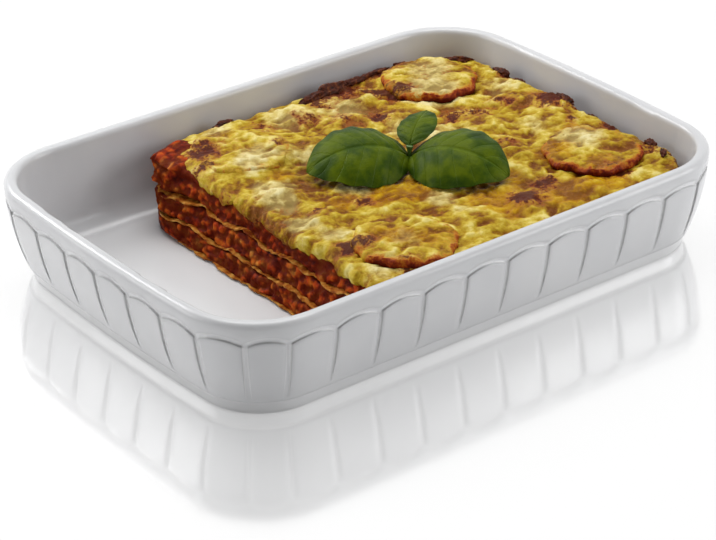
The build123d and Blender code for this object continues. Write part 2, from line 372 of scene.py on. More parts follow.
# %% [markdown]
# ## Helpers for food
# Food has no straight lines, so its pieces start as plain grids or as copies of the CAD solids, and
# their points are then pushed about. Sculpting would do it too, but couldn't be repeated. Noise is
# always the same at the same place, so each run gives the same piece.

# %% Mesh helpers
def pick(piece):
    """Selects one piece alone and makes it active."""
    deselect()
    piece.select_set(True)
    bpy.context.view_layer.objects.active = piece


def points_of(piece, what="co"):
    """The piece's points as an array, or with "normal" the direction that each of them faces."""
    values = np.empty(len(piece.data.vertices) * 3)
    piece.data.vertices.foreach_get(what, values)
    return values.reshape(-1, 3)


def set_points(piece, points):
    """Moves the piece's points."""
    piece.data.vertices.foreach_set("co", np.asarray(points, float).ravel())
    piece.data.update()


def switch(mode):
    """Goes into EDIT mode, where operators shape the mesh, or back to OBJECT mode."""
    bpy.ops.object.mode_set(mode=mode)


def choose_points(piece, chosen):
    """Selects points by a row of yes and no, and nothing else."""
    pick(piece)
    switch("EDIT")
    bpy.ops.mesh.select_mode(type="VERT")
    bpy.ops.mesh.select_all(action="DESELECT")
    switch("OBJECT")
    piece.data.vertices.foreach_set("select", chosen)


def merge_points(piece, reach):
    """Merges points of the piece that lie closer together than the reach."""
    pick(piece)
    switch("EDIT")
    bpy.ops.mesh.select_all(action="SELECT")
    bpy.ops.mesh.remove_doubles(threshold=reach)
    switch("OBJECT")


def apply_modifier(piece, kind, **settings):
    """Gives the piece a modifier and applies it at once."""
    pick(piece)
    modifier = piece.modifiers.new(kind.title(), kind)
    for name, value in settings.items():
        setattr(modifier, name, value)
    bpy.ops.object.modifier_apply(modifier=modifier.name)


def carry(piece, name, values):
    """Stores one value for each point of the piece, for its material."""
    attribute = piece.data.attributes.new(name, "FLOAT", "POINT")
    attribute.data.foreach_set("value", np.asarray(values, np.float32))


def finish_piece(piece, node_names, body, material, angle=60):
    """Shades the piece, gives it its material, ties it to its body and hides the CAD nodes it
    replaces.
    """
    pick(piece)
    bpy.ops.object.shade_smooth_by_angle(angle=math.radians(angle))
    piece.data.materials.clear()
    piece.data.materials.append(material)
    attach(piece, body)
    if node_names:
        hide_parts(*node_names)
    print(piece.name, "has", len(piece.data.polygons), "faces")


print("Mesh helpers are ready")

# %% Noise helpers
# Over a flat field z is any fixed number, and another number gives a field of its own
def cloud(x, y, z, size, octaves=3):
    """Soft noise from -1 to 1, whose lumps are about the given size."""
    return noise.fractal(Vector((x, y, z)) / size, 1.0, 2.0, octaves)


def chunk(x, y, z, size):
    """Rounded chunks side by side: how high a place is on its chunk, and that chunk's shade."""
    distances, places = noise.voronoi(Vector((x, y, z)) / size)
    return 0.5 - distances[0], noise.noise(places[0] * 7.3)


def fall_off(distance, reach):
    """1 up to a place, and less and less beyond it."""
    return math.exp(-max(distance, 0) / reach)


def clamp(value, least=0, most=1):
    """The value, kept between two others."""
    return min(max(value, least), most)


print("Noise helpers are ready")

# %% [markdown]
# ## Grids with a ragged outline
# Cheese and pasta are thin sheets with torn edges. Cut out of a solid they would have long thin
# faces that noise can't bend, so each starts as a fine grid over the whole lasagna. Its points
# outside the outline are deleted, and those at the edge slide onto the outline in three steps.

# %% Grid helpers
grid_margin = 6 * mm
slope_step = 0.2 * mm
least_slope = 0.3


def slide_to_edge(x, y, inside):
    """The place on the outline near a place, where inside(x, y) is zero."""
    for _ in range(3):
        depth = inside(x, y)
        slope_x = (inside(x + slope_step, y) - inside(x - slope_step, y)) / (2 * slope_step)
        slope_y = (inside(x, y + slope_step) - inside(x, y - slope_step)) / (2 * slope_step)
        length = max(math.hypot(slope_x, slope_y), least_slope)
        x -= depth * slope_x / length**2
        y -= depth * slope_y / length**2
    return x, y


def lay_grid(name, spacing, inside):
    """A flat grid over the lasagna, trimmed to the places where inside(x, y) is above zero."""
    long = food_right - plan_left + 2 * grid_margin
    wide = 2 * (food_side + grid_margin)
    deselect()
    columns, rows = round(long / spacing), round(wide / spacing)
    bpy.ops.mesh.primitive_grid_add(x_subdivisions=columns, y_subdivisions=rows, size=1)
    grid = bpy.context.object
    grid.name = name
    points = points_of(grid)
    points[:, 0] = (plan_left + food_right) / 2 + points[:, 0] * long
    points[:, 1] = points[:, 1] * wide
    set_points(grid, points)
    choose_points(grid, np.array([inside(x, y) < 0 for x, y, _ in points]))
    switch("EDIT")
    bpy.ops.mesh.delete(type="VERT")
    bpy.ops.mesh.select_all(action="SELECT")
    bpy.ops.mesh.region_to_loop()
    switch("OBJECT")
    edge = np.empty(len(grid.data.vertices), bool)
    grid.data.vertices.foreach_get("select", edge)
    points = points_of(grid)
    for index in np.nonzero(edge)[0]:
        points[index, :2] = slide_to_edge(*points[index, :2], inside)
    set_points(grid, points)
    return grid


def drop_skirt(piece, drops):
    """Closes a grid into a solid: its edge is extruded down by each drop and then filled."""
    pick(piece)
    switch("EDIT")
    bpy.ops.mesh.select_mode(type="EDGE")
    bpy.ops.mesh.select_all(action="SELECT")
    bpy.ops.mesh.region_to_loop()
    for drop in drops:
        bpy.ops.mesh.extrude_region_move(TRANSFORM_OT_translate={"value": (0, 0, -drop)})
    bpy.ops.mesh.edge_face_add()
    bpy.ops.mesh.select_all(action="SELECT")
    bpy.ops.mesh.normals_make_consistent(inside=False)
    switch("OBJECT")


print("Grid helpers are ready")

# %% [markdown]
# ## The melted cheese
# The cheese is one thin skin over the whole top. It follows the broad lumps of the CAD crust, and
# on them it bubbled, folded and curdled as it baked. Bump in the material would leave its outline
# flat, so a fine grid is lifted to the real shape. How high each point stands on its own fold is
# carried on the mesh, because the material paints the crests pale and the pits olive: a painted
# highlight and painted shade on the folds.

# %% Cheese relief
cheese_spacing = 1.0 * mm
edge_round = 7 * mm
cut_round = 2.5 * mm
cut_overhang = 2.5 * mm
tear_depth = 13 * mm
tear_place = 76 * mm
lump_radius = 16 * mm
lump_rise = 3 * mm
heap_rise = 4.5 * mm
heap_x, heap_y = 149 * mm, 8 * mm
fold_rise, fold_size = 2.3 * mm, 9 * mm
bubble_rise, bubble_size = 1.6 * mm, 15 * mm
curd_rise, curd_size = 0.65 * mm, 4.5 * mm
plain_top = crust_top - lump_rise
slice_radius = 28 * mm
melt_reach = 14 * mm
melt_rise = 2.3 * mm
covered_heading = math.radians(62)
slice_middles = {}
for side in ("front", "right", "back", "left"):
    low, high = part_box("tomato_slice_" + side)
    slice_middles[side] = (low + high) / 2

# Places of the lumps in mm, those of the CAD crust
lumps = [
    (-44, 12), (-40, -28), (-9, -39), (19, -82), (54, -84),
    (88, -86), (88, -22), (133, -10), (100, 12), (133, 25),
    (70, 45), (40, 60), (9, 50), (23, 86), (61, 84),
]


def lump_height(x, y):
    """How far the cheese swells above its plain level, in shallow domes and one taller heap."""
    shift_x = 4 * mm * cloud(x, y, 0.021, 16 * mm, 2)
    shift_y = 4 * mm * cloud(x, y, 0.063, 16 * mm, 2)
    swell = 0.0
    for lump_x, lump_y in lumps:
        away = math.hypot(x + shift_x - lump_x * mm, y + shift_y - lump_y * mm) / lump_radius
        if away < 1:
            swell = max(swell, (1 - away**2) ** 1.2)
    heap = heap_rise * bell(x - heap_x, 9 * mm) * bell(y - heap_y, 13 * mm)
    return lump_rise * swell + heap


def curdle(x, y):
    """Folds, bubbles and curds on top of the lumps."""
    drift = 6 * mm * cloud(x, y, 0.04, 22 * mm, 2)
    folds = fold_rise * (0.35 - abs(cloud((x + drift) * 0.6, y - drift, 0.017, fold_size, 2)))
    bubbles = bubble_rise * cloud(x, y, 0.05, bubble_size, 2)
    curds = curd_rise * cloud(x, y, 0.09, curd_size, 3)
    return folds + bubbles + curds


def crust_edge(x, y):
    """How far inside the crust's ragged edge a place is; the far end of the cut is torn back."""
    left = cut_x(plain_top) - cut_overhang - slump(y, plain_top)
    near_cut = fall_off(x - left, 14 * mm)
    ragged = 1.3 * mm * cloud(x, y, 0.03, 9 * mm) + 3.0 * mm * near_cut * cloud(x, y, 0.08, 12 * mm)
    torn = tear_depth * near_cut * bell(y - tear_place, 16 * mm)
    return depth_inside(x, y, left) + ragged - torn - 0.4 * mm


def melted_over(side, middle, x, y, height):
    """How far the cheese is drawn up to meet a slice; it leaves the slice's near rim bare."""
    away = math.hypot(x - middle.x, y - middle.y) - slice_radius
    if away > melt_reach:
        return 0.0
    heading = math.atan2(y - middle.y, x - middle.x)
    cover = 0.1 + 0.9 * math.cos(heading - covered_heading)
    if side == "left":
        cover = 1.0
    cover += 0.55 * cloud(math.cos(heading) * 0.02, math.sin(heading) * 0.02, middle.x, 0.02, 2)
    cover = clamp(cover, -0.5, 1)
    near = fall_off(away, 4.5 * mm)
    if cover > 0:
        return max(middle.z + melt_rise - height, 0) * cover * near
    return 2.0 * mm * cover * near


def crust_height(x, y):
    """Height of the cheese at a place."""
    depth = max(crust_edge(x, y), 0)
    near_cut = x - cut_x(plain_top)
    round_here = edge_round if near_cut > depth + 2 * mm else cut_round
    fall = 0.0
    if depth < round_here:
        fall = round_here - math.sqrt(round_here**2 - (round_here - depth) ** 2)
    height = plain_top - 0.2 * mm - fall + lump_height(x, y) + curdle(x, y)
    changes = [melted_over(side, middle, x, y, height) for side, middle in slice_middles.items()]
    return height + max(changes, key=abs)


print("Plain level of the cheese:", round(plain_top / mm, 1), "mm, with", len(lumps), "lumps")

# %% [markdown]
# ## Where the cheese browned
# Fat gathered in golden pools, fresh curd stayed pale, and thin or high places scorched. Noise
# alone would put these anywhere, so they are listed as round patches with torn outlines.

# %% Patches
# Each patch is x, y and radius in mm, and how strong it is
golden_patches = [
    (6, -22, 15, 1.0), (-27, -18, 9, 0.9), (-9, -30, 9, 0.9), (-36, -68, 11, 0.85),
    (40, -82, 12, 0.7), (16, -30, 12, 1.0), (41, -65, 13, 1.0), (81, -86, 12, 0.9),
    (103, -46, 12, 0.8), (132, -30, 9, 1.0), (-31, 28, 10, 0.6), (-20, -85, 13, 0.5),
    (58, -50, 14, 0.9), (66, -86, 12, 0.7), (104, -92, 12, 0.6), (108, -80, 13, 0.8),
]
pale_patches = [
    (18, -47, 9, 0.6), (19, -66, 8, 0.4), (-9, -9, 9, 0.9), (-47, 19, 11, 0.8),
    (-29, 98, 10, 0.6), (-29, 55, 11, 0.8), (-52, 2, 10, 0.8), (-57, -24, 9, 0.9),
    (125, -42, 14, 0.8), (-42, 48, 9, 0.7), (-52, -44, 8, 0.7), (-56, -90, 10, 0.6),
    (75, 10, 16, 0.45), (105, 60, 18, 0.5), (120, -10, 12, 0.4), (98, 62, 14, 0.8),
    (-30, -76, 14, 0.3), (15, 88, 16, 0.5), (48, 78, 16, 0.6), (-5, 40, 14, 0.5),
    (60, 32, 16, 0.5), (120, 85, 14, 0.7), (142, 45, 12, 0.5),
]
brown_patches = [
    (-50, 80, 12, 1.1), (-60, 62, 8, 0.8), (-3, 89, 9, 0.8), (22, 78, 8, 0.8),
    (38, 64, 10, 0.8), (58, 55, 9, 0.9), (87, 75, 9, 1.4), (76, 84, 7, 1.2),
    (-12, 61, 6, 0.7), (-41, -17, 5, 1.3), (-15, -23, 6, 0.9), (-50, -65, 8, 1.2),
    (-58, -61, 6, 0.9), (90, 29, 9, 0.9), (106, 25, 9, 0.8), (151, 9, 14, 1.2),
    (140, -21, 6, 0.8), (55, -77, 10, 1.6), (74, -69, 9, 1.0), (93, -17, 9, 0.7),
    (127, 26, 9, 0.7), (154, -38, 7, 0.9), (116, -84, 8, 1.3), (48, 98, 11, 1.4),
    (66, 99, 10, 1.4), (99, 106, 12, 1.1), (157, 54, 8, 1.1), (151, -72, 7, 1.0),
    (-45, -97, 6, 0.8),
]
# A patch fades out at this many times its radius, and at its middle it is this strong
patch_reach = 1.5
patch_gain = 1.35


def patch_amount(patches, x, y):
    """How strong the patches are at a place."""
    shift_x = 4.5 * mm * cloud(x, y, 0.11, 9 * mm, 3)
    shift_y = 4.5 * mm * cloud(x, y, 0.17, 9 * mm, 3)
    amount = 0.0
    for patch_x, patch_y, radius, strength in patches:
        away = math.hypot(x + shift_x - patch_x * mm, y + shift_y - patch_y * mm) / (radius * mm)
        if away < patch_reach:
            amount += patch_gain * strength * (1 - away / patch_reach)
    return amount


def rim_browning(x, y):
    """How brown the cheese is from drying at its edges."""
    edge = crust_edge(x, y)
    beside_wall = x - cut_x(plain_top) > edge + 1 * mm
    reach = 8 * mm if beside_wall else 3 * mm
    return (0.8 if beside_wall else 0.25) * max(0.0, 1 - edge / reach)


def carry_cheese(piece, extra_brown=None):
    """Stores the cheese's fields on each point of a piece."""
    points = points_of(piece)
    brown = np.array([patch_amount(brown_patches, x, y) for x, y, _ in points])
    if extra_brown is None:
        brown += [rim_browning(x, y) for x, y, _ in points]
    else:
        brown += extra_brown
    carry(piece, "browned", brown)
    carry(piece, "golden", [patch_amount(golden_patches, x, y) for x, y, _ in points])
    carry(piece, "pale", [patch_amount(pale_patches, x, y) for x, y, _ in points])
    # How high a point is on its fold; from it the material paints shade in the pits and highlight on
    # the crests
    carry(piece, "crest", [curdle(x, y) / (2 * mm) for x, y, _ in points])


print("Patches:", *map(len, (golden_patches, pale_patches, brown_patches)), "golden, pale, brown")

# %% [markdown]
# ## The skin of the cheese
# The grid is lifted to the height of the cheese at each of its points. Its edge is then extruded
# down in three steps and closed, which makes a solid of it, and where it hangs over the cut it is
# pushed in and out into an uneven lip. Solidify would give it one thickness all the way round.

# %% Cheese skin
skirt = (1.0 * mm, 1.3 * mm, 1.6 * mm)
lip_reach = 8 * mm
lip_swell = 1.1 * mm


def hang_lip(piece, first, drops):
    """Makes the cheese's hanging edge uneven and round: some of it runs down, some is drawn up."""
    points = points_of(piece)
    ring = (len(points) - first) // len(drops)
    for number in range(first, len(points)):
        x, y, z = points[number]
        share = (1 + (number - first) // ring) / len(drops)
        run = sum(drops) * share * (0.15 + 0.9 * cloud(x, y, 0.33, 11 * mm, 3))
        if x - cut_x(z) < lip_reach:
            swell = lip_swell * math.sin(math.pi * share)
            points[number] = (x - swell, y, z - run)
    set_points(piece, points)


cheese = lay_grid("melted_cheese", cheese_spacing, crust_edge)
points = points_of(cheese)
points[:, 2] = [crust_height(x, y) for x, y, _ in points]
set_points(cheese, points)
drop_skirt(cheese, skirt)
hang_lip(cheese, len(points), skirt)
carry_cheese(cheese)
print("Cheese grid:", len(points), "points")

# %% [markdown]
# ## The finish of the cheese
# Baked cheese isn't one yellow: it is straw on the slopes, and the material paints its pits olive
# and its crests cream, a painted shade and painted highlight on the folds. The golden fields are wet
# fat and shine more. Grains of brown are strewn over all of it and crowd together in the scorched
# patches, from orange to nearly black. A painted image would fit only this mesh, so the colours are
# looked up in ramps, from noise and from the carried values.

# %% Cheese colours
# Each stop is a place on a ramp and a colour; these three ramps run from pit to crest, their dark
# ends a painted shade in the pits and their light ends a painted highlight on the crests
straw_colours = [
    (0.20, (0.17, 0.050, 0.003)),
    (0.34, (0.30, 0.145, 0.004)),
    (0.46, (0.43, 0.262, 0.010)),
    (0.58, (0.55, 0.385, 0.030)),
    (0.70, (0.67, 0.51, 0.085)),
    (0.84, (0.80, 0.67, 0.22)),
]
gold_colours = [
    (0.25, (0.22, 0.075, 0.001)),
    (0.5, (0.42, 0.195, 0.001)),
    (0.7, (0.55, 0.31, 0.002)),
    (0.9, (0.70, 0.48, 0.04)),
]
cream_colours = [
    (0.3, (0.38, 0.27, 0.08)),
    (0.5, (0.62, 0.49, 0.18)),
    (0.75, (0.84, 0.74, 0.40)),
]
# From lightly toasted to scorched, and from thin cheese to dark red flesh
toast_colours = [
    (0.3, (0.60, 0.32, 0.085)),
    (0.55, (0.46, 0.165, 0.03)),
    (0.8, (0.23, 0.040, 0.006)),
    (1.0, (0.075, 0.009, 0.003)),
]
tomato_colours = [
    (0.2, (0.62, 0.33, 0.03)),
    (0.42, (0.48, 0.15, 0.012)),
    (0.62, (0.28, 0.036, 0.006)),
    (0.82, (0.10, 0.008, 0.003)),
]
print("Colours from pit to crest:", len(straw_colours))

# %% Cheese finish
def lay_field(material, base, tone, field, grain, reach, colours):
    """Mixes other colours into the cheese where a field is strong, with a grainy border."""
    share = add_ramp(material, add_sum(material, field, (grain, 0.6)), reach)
    return add_mix(material, share, base, add_ramp(material, tone, colours))


def make_cheese(name, shows_tomato=False):
    """Baked cheese; the tomato under it may show at the rim of a slice."""
    material, shader, place = new_material(name)
    golden, pale, browned, crest = (
        add_attribute(material, field) for field in ("golden", "pale", "browned", "crest")
    )
    fleck = add_noise(material, place, 2.2 * mm, detail=4, roughness=0.7)
    curd = add_noise(material, place, 5 * mm, detail=5, roughness=0.65)
    gather = add_noise(material, place, 12 * mm, detail=4, roughness=0.7)
    broad = add_noise(material, place, 20 * mm, detail=3, roughness=0.6, distortion=0.5)
    # The crest value paints the crests lighter and the pits darker: a painted highlight and painted
    # shade
    crest = add_math(material, "MULTIPLY", crest, 0.36)
    tone = add_sum(material, crest, (curd, 0.65), (fleck, 0.3), (broad, 0.27))
    tone = add_sum(material, (tone, 1.35), -0.41)
    base = add_ramp(material, tone, straw_colours)
    base = lay_field(material, base, tone, golden, fleck, [(0.48, 0), (0.9, 1)], gold_colours)
    base = lay_field(material, base, tone, pale, curd, [(0.5, 0), (1.0, 0.85)], cream_colours)
    swings = add_swing(material, fleck, 2.4), add_swing(material, gather, 2.4)
    # Crests brown less, part of their painted highlight
    toasted = add_sum(material, *swings, browned, (crest, -0.5))
    brown = add_ramp(material, toasted, [(0.28, 0), (0.9, 0.97)])
    base = add_mix(material, brown, base, add_ramp(material, toasted, toast_colours))
    if shows_tomato:
        flesh = add_sum(material, curd, fleck, -1.0, add_attribute(material, "bare"))
        shown = add_ramp(material, flesh, [(0.12, 0), (0.4, 1)])
        base = add_mix(material, shown, base, add_ramp(material, flesh, tomato_colours))
    roughness = add_sum(material, (curd, 0.5), 0.18, (golden, -0.12))
    set_finish(material, shader, base, roughness, 0.07)
    add_bump(material, shader, add_sum(material, (curd, 1.6), fleck), 0.8 * mm, 0.7)
    return material


finish_piece(cheese, ["cheese_crust"], "lasagna", make_cheese("baked_cheese"))

# %% [markdown]
# ## The tomato slices
# Four slices of tomato lay on top and the cheese melted over them. Each is a low dome whose top is
# cheese, continuous with the folds round it, and whose near rim shows cooked tomato. A cylinder is
# a good start but has points only at its rim, so it is first inset ring by ring and its side cut
# into rows. Noise can then make it wavy.

# %% Slice blank
slice_corners = 144
ring_width = 1.1 * mm
ring_count = 23


def cut_slice(name, middle, thickness):
    """A flat disc with rings of points on both faces and rows of them round its side."""
    deselect()
    bpy.ops.mesh.primitive_cylinder_add(
        vertices=slice_corners, radius=slice_radius, depth=thickness, location=middle
    )
    piece = bpy.context.object
    piece.name = name
    bpy.ops.object.transform_apply(location=True, rotation=True, scale=True)
    switch("EDIT")
    bpy.ops.mesh.select_mode(type="FACE")
    bpy.ops.mesh.select_all(action="DESELECT")
    switch("OBJECT")
    for polygon in piece.data.polygons:
        polygon.select = abs(polygon.normal.z) > 0.5
    switch("EDIT")
    for _ in range(ring_count):
        bpy.ops.mesh.inset(thickness=ring_width)
    bpy.ops.mesh.select_all(action="DESELECT")
    switch("OBJECT")
    for edge in piece.data.edges:
        ends = [piece.data.vertices[index].co for index in edge.vertices]
        edge.select = abs(ends[0].z - ends[1].z) > thickness / 2
    switch("EDIT")
    bpy.ops.mesh.select_mode(type="EDGE")
    bpy.ops.mesh.subdivide(number_cuts=4)
    bpy.ops.mesh.select_all(action="SELECT")
    bpy.ops.mesh.normals_make_consistent(inside=False)
    switch("OBJECT")
    return piece


print("Each face of a slice gets", ring_count, "rings of", slice_corners, "points")

# %% Slices
rim_start = 0.74
rim_wave, rim_wave_size = 3.4 * mm, 20 * mm
side_bulge = 1.1 * mm
bare_heading = math.radians(-98)
left_bareness = 0.35


def make_slice(side, middle, thickness):
    """One slice with its cheese, wavy all round."""
    piece = cut_slice("tomato_with_cheese_" + side, middle, thickness)
    points = points_of(piece)
    browned, bare = [], []
    for index, (x, y, z) in enumerate(points):
        away_x, away_y = x - middle.x, y - middle.y
        share = math.hypot(away_x, away_y) / slice_radius
        level = (z - middle.z) / (thickness / 2)
        wave = rim_wave * cloud(x, y, 0.02, rim_wave_size, 3) - 0.6 * mm
        bulge = side_bulge * (1 - level * level) * share
        grow = 1 + (wave + bulge) / slice_radius * share**2
        rim = max(0.0, share - rim_start) / (1 - rim_start)
        fall = (1.1 * rim**2.5 - 0.7) * mm * max(level, 0)
        relief = 0.9 * curdle(x, y) * max(level, 0)
        rough = 0.6 * mm * cloud(x, y, z, 3.5 * mm, 2) * rim
        grow += rough / slice_radius
        points[index] = (middle.x + away_x * grow, middle.y + away_y * grow, z - fall + relief)
        heading = math.atan2(away_y, away_x)
        facing = 0.6 + 0.7 * math.cos(heading - bare_heading) + 1.0 * cloud(x, y, 0.07, 9 * mm, 3)
        facing = clamp(facing) * (left_bareness if side == "left" else 1)
        if level > 0.99:
            shown = 0.62 * rim**2
        elif share > 0.97:
            shown = 0.55 + 0.5 * (1 - level) / 2
        else:
            shown = 0
        browned.append(0.5 * rim**2 * facing)
        bare.append(shown * facing)
    set_points(piece, points)
    carry_cheese(piece, np.array(browned))
    carry(piece, "bare", bare)
    return piece


slice_finish = make_cheese("cheese_on_tomato", shows_tomato=True)
for side, middle in slice_middles.items():
    low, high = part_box("tomato_slice_" + side)
    piece = make_slice(side, middle, high.z - low.z)
    finish_piece(piece, ["tomato_slice_" + side], "lasagna", slice_finish)

# %% [markdown]
# ## Crisp edges
# Where the cheese touched the hot wall it dried into dark crisp flakes. A flat scrap would vanish
# when seen from its edge, so each flake is a small ball, flattened, stretched along the wall and
# roughened by noise. All of them are joined into one piece.

# %% Crisp flakes
def make_crisp_flake(x, y, long, high, heading):
    """One dark flake at the edge of the cheese."""
    deselect()
    bpy.ops.mesh.primitive_ico_sphere_add(subdivisions=4, radius=1)
    flake = bpy.context.object
    points = points_of(flake)
    cosine, sine = math.cos(math.radians(heading)), math.sin(math.radians(heading))
    base = crust_height(x, y)
    for index, point in enumerate(points):
        rough = 1 + 0.45 * cloud(*(point * 8 * mm + (x, y, 0)), 5 * mm, 3)
        along, away, rise = point * rough * (long / 2, high * 0.45, high / 2)
        place = (x + along * cosine - away * sine, y + along * sine + away * cosine, base + rise)
        points[index] = place
    set_points(flake, points)
    return flake


# x, y, length and height in mm, and heading in degrees
crisp_flakes = [
    (-18, 105, 16, 5, 0), (43, 101, 20, 7, 10), (58, 102.5, 26, 9, 5), (76, 104, 16, 6, 4),
    (88, 105.5, 12, 5, 6), (97, 105.5, 20, 5, 0), (112, 105, 10, 4, -8), (146, 89, 15, 5, -42),
    (155, 60, 14, 6, -86), (156, 44, 9, 4, -90), (155.5, 4, 16, 6, -90), (156, -20, 9, 4, -90),
    (154, -70, 9, 5, -95), (150, -84, 8, 4, -125), (20, -106, 12, 3, 0), (90, -106, 14, 3, 0),
]
flakes = [
    make_crisp_flake(x * mm, y * mm, long * mm, high * mm, heading)
    for x, y, long, high, heading in crisp_flakes
]
deselect()
for flake in flakes:
    flake.select_set(True)
bpy.context.view_layer.objects.active = flakes[0]
bpy.ops.object.join()
crisps = bpy.context.object
crisps.name = "crisp_edges"
print("Crisp flakes:", len(flakes))

# %% [markdown]
# ## The finish of the flakes
# Dried cheese and sauce go nearly black, with rusty spots where they are thin. Black alone would
# look like a hole, so a fine noise mixes in the rust and roughens the surface.

# %% Crisp finish
def make_crisp():
    """Cheese and sauce dried dark."""
    material, shader, place = new_material("crisp_edge")
    tone = add_noise(material, place, 3 * mm, detail=4, roughness=0.7)
    dark, rust = (0.018, 0.005, 0.003), (0.085, 0.016, 0.005)
    base = add_ramp(material, tone, [(0.35, dark), (0.55, rust), (0.74, (0.30, 0.10, 0.02))])
    set_finish(material, shader, base, 0.5, 0.12)
    add_bump(material, shader, tone, 0.6 * mm, 0.8)
    return material


finish_piece(crisps, [], "lasagna", make_crisp())

# %% [markdown]
# ## The meat sauce
# Between the pasta sheets lies minced meat in tomato sauce. At the cut face one sees the mince
# itself: rounded chunks a few millimetres across, dark in the gaps. Crumbs placed one by one would
# be heavy and leave holes, so each layer starts as a copy of its CAD solid. A voxel remesh gives it
# even points all over, and those on its sides are pushed out on a chunk and in between chunks.

# %% Meat shape
meat_voxel = 1.4 * mm
skin_reach = 2.2 * mm
torn_reach = 26 * mm
chunk_rise, chunk_size = 2.8 * mm, 6 * mm
crumb_rise, crumb_size = 1.6 * mm, 3.0 * mm


def copy_node(node, name):
    """A free copy of a CAD solid, its triangles merged into one skin."""
    copy = bpy.data.objects.new(name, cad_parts[node].data.copy())
    bpy.context.scene.collection.objects.link(copy)
    merge_points(copy, 0.001 * mm)
    return copy


def mince(x, y, z):
    """How far the mince stands out at a place, how high on its chunk that is, and its shade."""
    shift = 2.2 * mm * cloud(x, y, z, 4 * mm, 2)
    high, shade = chunk(x + shift, y + shift, z * 1.2 - shift, chunk_size)
    fine, fine_shade = chunk(x + 1, y - shift, z + shift, crumb_size)
    broad, small = cloud(x, y, z, 22 * mm, 2), cloud(x, y, z, 5 * mm, 3)
    push = chunk_rise * high + crumb_rise * fine + 1.4 * mm * broad + 1.3 * mm * small
    return push, high + 0.6 * fine, 0.5 + 0.35 * shade + 0.3 * fine_shade


def make_meat_layer(node, name):
    """One layer of sauce with its sides broken up into mince."""
    piece = copy_node(node, name)
    apply_modifier(piece, "REMESH", mode="VOXEL", voxel_size=meat_voxel)
    points = points_of(piece)
    normals = points_of(piece, "normal")
    heights = np.zeros(len(points))
    shades = np.zeros(len(points))
    lean = cut_lean / cut_rise
    for index, ((x, y, z), normal) in enumerate(zip(points, normals)):
        from_cut = x - cut_x(z)
        sideways = math.hypot(normal[0], normal[1])
        on_cut = from_cut < skin_reach
        torn_top = normal[2] > 0.5 and node == "ragu_top" and from_cut < torn_reach
        if not on_cut and sideways < 0.3 and not torn_top:
            continue
        push, heights[index], shades[index] = mince(x, y, z)
        push += slump(y, z)
        if on_cut:
            fade = 1 if torn_top else clamp((skin_reach - from_cut) / (1.5 * mm))
            side = clamp(depth_inside(x, y, no_cut) / (3 * mm))
            points[index] += np.array((-1, 0, lean)) * (push * side - 0.4 * mm) * fade
        elif torn_top:
            near = 1 - from_cut / torn_reach
            points[index] += np.array((-slump(y, z) * near, 0, 0.6 * push * min(4 * near, 1)))
        else:
            points[index] += normal * min(push - 1.5 * mm, 0) * sideways
    set_points(piece, points)
    carry(piece, "shade", shades)
    carry(piece, "chunk", heights)
    return piece


print("Points on the meat are", round(meat_voxel / mm, 1), "mm apart")

# %% [markdown]
# ## The finish of the meat
# Cooked mince is red and brown and wet with fat. Noise alone would look like paint, so the colour
# also follows the random shade that each chunk carries, and a painted shade is multiplied in where
# a point lies low on its chunk, darkening the gaps between the chunks.

# %% Meat finish
meat_colours = [
    (0.42, (0.085, 0.005, 0.003)),
    (0.56, (0.25, 0.018, 0.003)),
    (0.70, (0.42, 0.046, 0.005)),
    (0.86, (0.54, 0.11, 0.010)),
    (1.0, (0.66, 0.25, 0.04)),
]
# Painted shade, multiplied into the gaps between the chunks
gap_painted_shade = (0.28, 0.2, 0.16)


def make_meat():
    """Cooked mince in tomato sauce, wet with fat, with painted shade in the gaps."""
    material, shader, place = new_material("meat_sauce")
    cloudy = add_noise(material, place, 6 * mm, detail=4, roughness=0.65)
    fine = add_noise(material, place, 1.5 * mm, detail=3, roughness=0.6)
    tone = add_sum(material, (add_attribute(material, "shade"), 0.5), cloudy)
    # Where a point lies low on its chunk, a painted shade darkens the colour
    gap_shade = add_ramp(material, add_attribute(material, "chunk"), [(0.0, gap_painted_shade), (0.3, 1)])
    base = add_mix(material, 1.0, add_ramp(material, tone, meat_colours), gap_shade, "MULTIPLY")
    roughness = add_ramp(material, fine, [(0.35, 0.38), (0.65, 0.6)])
    set_finish(material, shader, base, roughness, 0.045)
    add_bump(material, shader, fine, 0.6 * mm, 0.8)
    return material


meat_finish = make_meat()
for level in ("bottom", "middle", "top"):
    piece = make_meat_layer("ragu_" + level, "meat_sauce_" + level)
    finish_piece(piece, ["ragu_" + level], "lasagna", meat_finish, angle=80)

# %% [markdown]
# ## The pasta sheets
# Three thin sheets of pasta carry the sauce. Only their edges show at the cut: pale wavy lines that
# sag between the chunks. The CAD's clean sheets would look like plastic there, so each is a grid at
# the same level, with the same slow wave and quicker ones near the cut. Solidify gives it a body.

# %% Pasta shape
pasta_spacing = 2.2 * mm
pasta_thickness = 1.8 * mm
edge_thickness = pasta_thickness * 0.42
wave_length = 46 * mm


